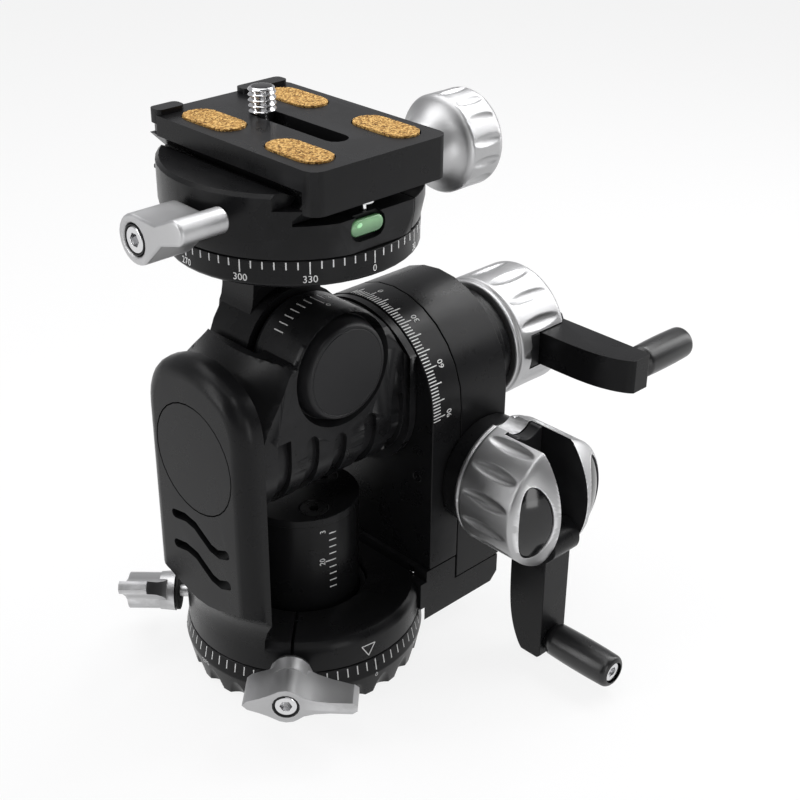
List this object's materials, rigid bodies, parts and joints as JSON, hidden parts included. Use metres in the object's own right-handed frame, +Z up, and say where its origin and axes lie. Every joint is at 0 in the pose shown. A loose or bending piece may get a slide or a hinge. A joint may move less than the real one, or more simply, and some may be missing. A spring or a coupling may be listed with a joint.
{
  "type": "geared tripod head",
  "caption": "Tripod head with a lifting, panning frame, worm-geared tilts on two crossed axes with folding crank knobs, and a panning dovetail clamp with a quick-release plate.",
  "frame": {"origin": "centre of the base's underside, on the column's axis", "axes": "+Z up along the column; +X along the barrel toward the gear tower and crank knob A; -Y toward the hub's cap and crank knob B"},
  "size_m": [0.1457, 0.1095, 0.147],
  "materials": {
    "black_anodised": "fine bead-blasted black anodising with satin edges",
    "black_satin": "satin black",
    "silver_anodised": "fine blasted natural anodising",
    "steel": "bright nickel-plated steel",
    "dark_steel": "blackened steel",
    "brass": "machined brass",
    "cork": "granular cork composition",
    "level_green": "green spirit level under clear resin",
    "rubber": "matte black"
  },
  "bodies": {
    "base": {"base_ring": "black_anodised", "column": "black_anodised", "column_screw_1": "dark_steel", "column_screw_2": "dark_steel", "column_screw_3": "dark_steel"},
    "sleeve": {"lift_sleeve": "dark_steel"},
    "frame": {"head_frame": "black_anodised", "foot_dowel": "steel", "arm_cover": "black_anodised", "arm_pin": "steel", "scale_tower": "black_anodised", "tower_screw": "dark_steel", "gear_housing": "black_anodised", "collar_b": "black_anodised"},
    "barrel": {"barrel": "black_anodised", "barrel_wheel": "brass", "hub_cap": "black_satin", "hinge_pin": "steel", "collar_a": "black_anodised", "collar_a_screw": "dark_steel"},
    "neck": {"neck": "black_anodised", "neck_wheel": "brass", "pan_ring": "black_anodised"},
    "clamp": {"clamp_body": "black_anodised", "bubble_level": "level_green"},
    "jaw": {"jaw": "black_anodised"},
    "clamp_knob": {"clamp_knob": "silver_anodised"},
    "lever": {"pan_lever": "silver_anodised", "pan_lever_screw": "steel"},
    "safety_pin": {"safety_pin": "steel"},
    "plate": {"plate": "black_anodised", "cork_pad_1": "cork", "cork_pad_2": "cork", "cork_pad_3": "cork", "cork_pad_4": "cork"},
    "camera_washer": {"camera_washer": "dark_steel"},
    "camera_screw": {"camera_screw": "steel"},
    "knob_a": {"knob_a": "silver_anodised", "knob_a_insert": "black_satin", "knob_a_inlay_1": "black_satin", "knob_a_inlay_2": "black_satin", "worm_a": "steel"},
    "crank_a": {"crank_a": "black_anodised"},
    "grip_a": {"grip_a": "black_satin", "grip_a_screw": "steel"},
    "knob_b": {"knob_b": "silver_anodised", "knob_b_insert": "black_satin", "knob_b_inlay_1": "black_satin", "knob_b_inlay_2": "black_satin", "worm_b": "steel"},
    "crank_b": {"crank_b": "black_anodised"},
    "grip_b": {"grip_b": "black_satin", "grip_b_screw": "steel"},
    "wing_1": {"wing_1": "silver_anodised", "wing_1_screw": "steel", "wing_1_washer": "rubber"},
    "wing_2": {"wing_2": "silver_anodised", "wing_2_screw": "steel", "wing_2_washer": "rubber"}
  },
  "joints": [
    {"name": "lift_slide", "type": "slide", "parent": "base", "child": "sleeve", "axis": [0, 0, 1], "range_m": [0, 0.02]},
    {"name": "frame_pan", "type": "hinge", "parent": "sleeve", "child": "frame", "pos_m": [0, 0, 0.0172], "axis": [0, 0, 1], "continuous": true},
    {"name": "barrel_tilt", "type": "hinge", "parent": "frame", "child": "barrel", "pos_m": [0, 0, 0.0672], "axis": [1, 0, 0], "range_deg": [-30, 40]},
    {"name": "neck_tilt", "type": "hinge", "parent": "barrel", "child": "neck", "pos_m": [0, 0, 0.0855], "axis": [0, 1, 0], "range_deg": [-30, 20]},
    {"name": "clamp_pan", "type": "hinge", "parent": "neck", "child": "clamp", "pos_m": [0, 0, 0.1199], "axis": [0, 0, 1], "continuous": true},
    {"name": "jaw_slide", "type": "slide", "parent": "clamp", "child": "jaw", "axis": [1, 0, 0], "range_m": [0, 0.003]},
    {"name": "clamp_knob_turn", "type": "hinge", "parent": "jaw", "child": "clamp_knob", "pos_m": [0.0303, 0, 0.1253], "axis": [1, 0, 0], "range_deg": [0, 1080]},
    {"name": "lever_turn", "type": "hinge", "parent": "clamp", "child": "lever", "pos_m": [-0.0314, -0.001, 0.125], "axis": [1, 0, 0], "range_deg": [-45, 45]},
    {"name": "pin_press", "type": "slide", "parent": "clamp", "child": "safety_pin", "axis": [0, 0, 1], "range_m": [-0.0012, 0], "stiffness_N_per_m": 500},
    {"name": "plate_slide", "type": "slide", "parent": "clamp", "child": "plate", "axis": [0, 1, 0], "range_m": [-0.03, 0.003]},
    {"name": "screw_slide", "type": "slide", "parent": "plate", "child": "camera_washer", "axis": [0, 1, 0], "range_m": [-0.0245, 0]},
    {"name": "screw_turn", "type": "hinge", "parent": "camera_washer", "child": "camera_screw", "pos_m": [-0.0006, 0.0089, 0.1314], "axis": [0, 0, 1], "continuous": true},
    {"name": "knob_a_turn", "type": "hinge", "parent": "barrel", "child": "knob_a", "pos_m": [0.061, 0, 0.0672], "axis": [1, 0, 0], "range_deg": [-1080, 720]},
    {"name": "crank_a_fold", "type": "hinge", "parent": "knob_a", "child": "crank_a", "pos_m": [0.08, -0.01, 0.0672], "axis": [0, 0, 1], "range_deg": [0, 180]},
    {"name": "grip_a_spin", "type": "hinge", "parent": "crank_a", "child": "grip_a", "pos_m": [0.0819, -0.0396, 0.0672], "axis": [1, 0, 0], "continuous": true},
    {"name": "knob_b_turn", "type": "hinge", "parent": "frame", "child": "knob_b", "pos_m": [0.04, -0.0306, 0.0467], "axis": [0, -1, 0], "range_deg": [-1080, 1440]},
    {"name": "crank_b_fold", "type": "hinge", "parent": "knob_b", "child": "crank_b", "pos_m": [0.04, -0.0496, 0.0367], "axis": [-1, 0, 0], "range_deg": [0, 180]},
    {"name": "grip_b_spin", "type": "hinge", "parent": "crank_b", "child": "grip_b", "pos_m": [0.04, -0.0515, 0.0071], "axis": [0, -1, 0], "continuous": true},
    {"name": "wing_1_turn", "type": "hinge", "parent": "frame", "child": "wing_1", "pos_m": [-0.02304, 0.02264, 0.014], "axis": [-0.7133, 0.7009, 0], "range_deg": [-60, 60]},
    {"name": "wing_2_turn", "type": "hinge", "parent": "frame", "child": "wing_2", "pos_m": [-0.02323, -0.02244, 0.014], "axis": [-0.7193, -0.6947, 0], "range_deg": [-30, 90]}
  ],
  "couplings": [
    {"joint": "knob_a_turn", "follows": "neck_tilt", "ratio": 36},
    {"joint": "knob_b_turn", "follows": "barrel_tilt", "ratio": 36},
    {"joint": "clamp_knob_turn", "follows": "jaw_slide", "rad_per_m": 6283.2}
  ]
}
